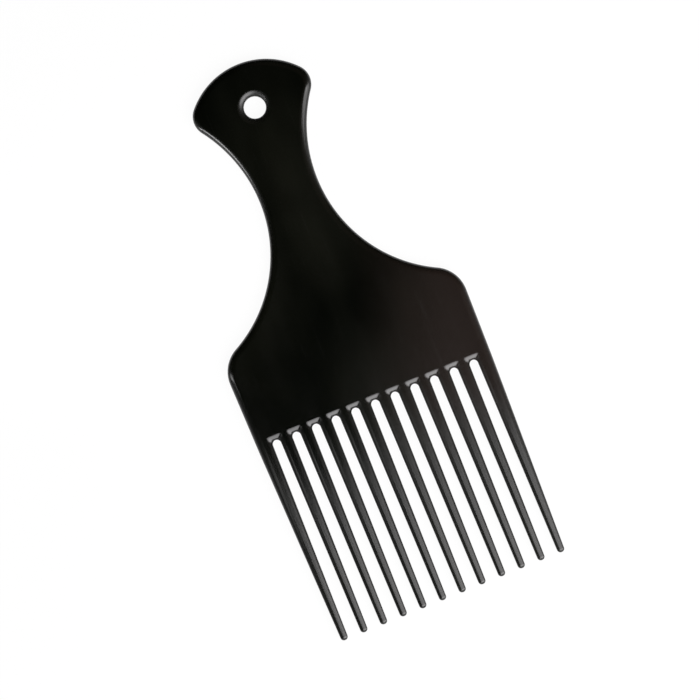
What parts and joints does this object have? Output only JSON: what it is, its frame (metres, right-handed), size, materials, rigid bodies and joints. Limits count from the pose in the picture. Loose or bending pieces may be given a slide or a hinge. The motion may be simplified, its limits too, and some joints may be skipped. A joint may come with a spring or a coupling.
{
  "type": "afro pick",
  "caption": "Flat moulded afro pick with a fan-shaped handle, a round hanging hole, a waisted neck, a wide blade and a row of long tapered teeth that lift and part thick curly hair.",
  "frame": {"origin": "middle of the lower face's bounding rectangle, on the surface that the pick lies on", "axes": "+X to the right across the row of teeth, +Y from the tooth tips up to the top of the handle, +Z through the thickness, up from the surface"},
  "size_m": [0.0754, 0.17, 0.004],
  "materials": {
    "black_plastic": "polished moulded black plastic, with fine handling scratches"
  },
  "bodies": {
    "root": {"handle": "black_plastic", "blade": "black_plastic", "tooth_01": "black_plastic", "tooth_02": "black_plastic", "tooth_03": "black_plastic", "tooth_04": "black_plastic", "tooth_05": "black_plastic", "tooth_06": "black_plastic", "tooth_07": "black_plastic", "tooth_08": "black_plastic", "tooth_09": "black_plastic", "tooth_10": "black_plastic", "tooth_11": "black_plastic", "tooth_12": "black_plastic"}
  },
  "joints": []
}
